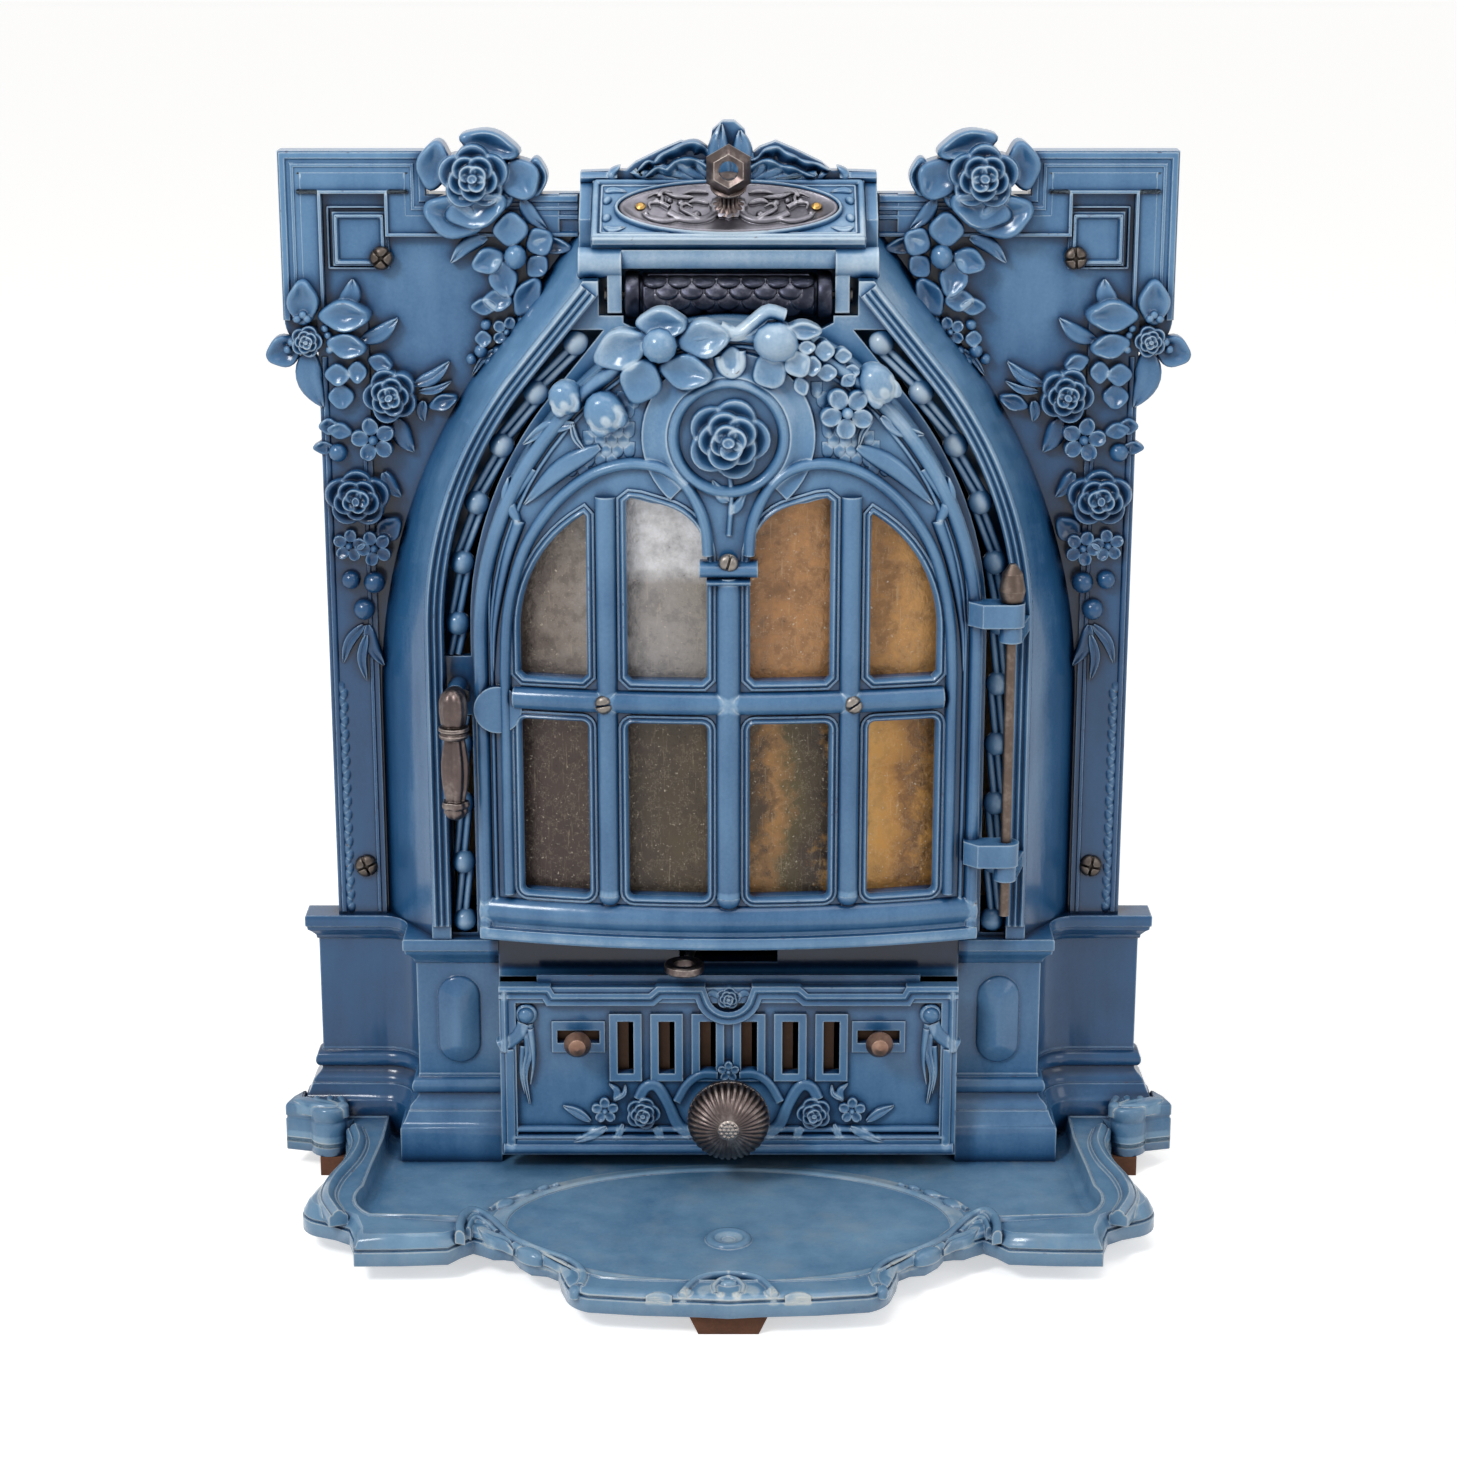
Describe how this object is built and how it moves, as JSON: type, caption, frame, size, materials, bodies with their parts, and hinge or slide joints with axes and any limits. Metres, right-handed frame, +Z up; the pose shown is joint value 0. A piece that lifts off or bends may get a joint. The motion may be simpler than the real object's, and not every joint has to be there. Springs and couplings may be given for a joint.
{
  "type": "wood stove",
  "caption": "Enamelled cast-iron fireplace stove with an arched mica-paned door, a tilting loading lid, an ash drawer with an air slider, a hearth tray and a rear flue collar.",
  "frame": {"origin": "on the floor, in the stove's plane of symmetry, halfway between the front lip of the hearth tray and the rear end of the flue collar", "axes": "+X to the right seen from the front, +Y to the back, +Z up; the door and the ash drawer face -Y"},
  "size_m": [0.67, 0.7, 0.783],
  "materials": {
    "enamel": "blue vitreous enamel on cast iron, glossy, worn pale on the raised edges",
    "tray_enamel": "blue vitreous enamel on the cast-iron hearth tray, glossy, stained",
    "bare_iron": "bare sooty cast iron, rough",
    "rusty_iron": "bare cast iron, rusty brown",
    "aged_nickel": "old nickel plate, dark and brownish, half polished",
    "aged_bronze": "bronzed iron, copper brown, worn",
    "dark_pewter": "dark pewter-coloured plating, dull",
    "brass": "polished brass screws, a little tarnished",
    "steel": "plain steel fixings, dull",
    "sheet_steel": "rolled sheet steel, dull and smoky",
    "mica": "thin mica sheet, crinkled, smoke-stained amber to brown",
    "firebrick": "fired refractory clay, matt"
  },
  "bodies": {
    "stove": {"hearth_tray": "tray_enamel", "feet": "rusty_iron", "base_plate": "bare_iron", "base_left": "enamel", "base_right": "enamel", "facade_plate": "enamel", "facade_screws": "steel", "facade_nuts": "steel", "arch_front": "enamel", "gallery_left": "enamel", "gallery_right": "enamel", "hopper_housing": "enamel", "door_hinge_pin": "aged_bronze", "latch_collar": "enamel", "firebox_side_left": "bare_iron", "firebox_side_right": "bare_iron", "firebox_back": "bare_iron", "firebox_top": "bare_iron", "firebrick_left": "firebrick", "firebrick_right": "firebrick", "firebrick_back": "firebrick", "grate_plate": "bare_iron", "flue_collar": "bare_iron", "flue_collar_bolts": "steel", "tie_rods": "steel", "tie_rod_nuts": "steel", "drawer_runners": "sheet_steel"},
    "door": {"door_frame": "enamel", "mica_panes": "mica", "mica_retainer": "bare_iron", "door_screws": "steel", "door_nuts": "steel"},
    "latch": {"latch_handle": "aged_nickel", "latch_cam": "bare_iron", "latch_spindle": "steel", "latch_nut": "steel"},
    "lid": {"lid_frame": "enamel", "oval_plate": "dark_pewter", "oval_screws": "brass", "lid_knob": "aged_nickel", "roller_rod": "steel"},
    "roller": {"roller_grip": "aged_nickel"},
    "drawer": {"ash_drawer_front": "enamel", "ash_pan": "sheet_steel", "drawer_knob": "aged_nickel", "drawer_knob_bolt": "steel", "slider_guides": "sheet_steel"},
    "air_damper": {"air_slider": "sheet_steel", "slider_knobs": "aged_bronze"},
    "grate": {"fire_grate": "bare_iron", "shaker_rod": "steel", "shaker_ring": "aged_nickel"}
  },
  "joints": [
    {"name": "door_hinge", "type": "hinge", "parent": "stove", "child": "door", "pos_m": [0.198, -0.14, 0.359], "axis": [0, 0, 1], "range_deg": [0, 110]},
    {"name": "latch_turn", "type": "hinge", "parent": "stove", "child": "latch", "pos_m": [-0.194, -0.128, 0.388], "axis": [0, 1, 0], "range_deg": [0, 90]},
    {"name": "lid_tilt", "type": "hinge", "parent": "stove", "child": "lid", "pos_m": [0, -0.09, 0.691], "axis": [1, 0, 0], "range_deg": [0, 70]},
    {"name": "roller_spin", "type": "hinge", "parent": "lid", "child": "roller", "pos_m": [0, -0.086, 0.668], "axis": [1, 0, 0], "continuous": true},
    {"name": "drawer_slide", "type": "slide", "parent": "stove", "child": "drawer", "axis": [0, -1, 0], "range_m": [0, 0.2]},
    {"name": "air_damper_slide", "type": "slide", "parent": "drawer", "child": "air_damper", "axis": [1, 0, 0], "range_m": [-0.008, 0.008]},
    {"name": "grate_shake", "type": "hinge", "parent": "stove", "child": "grate", "pos_m": [0, 0.095, 0.1975], "axis": [0, 0, 1], "range_deg": [0, 16]}
  ]
}
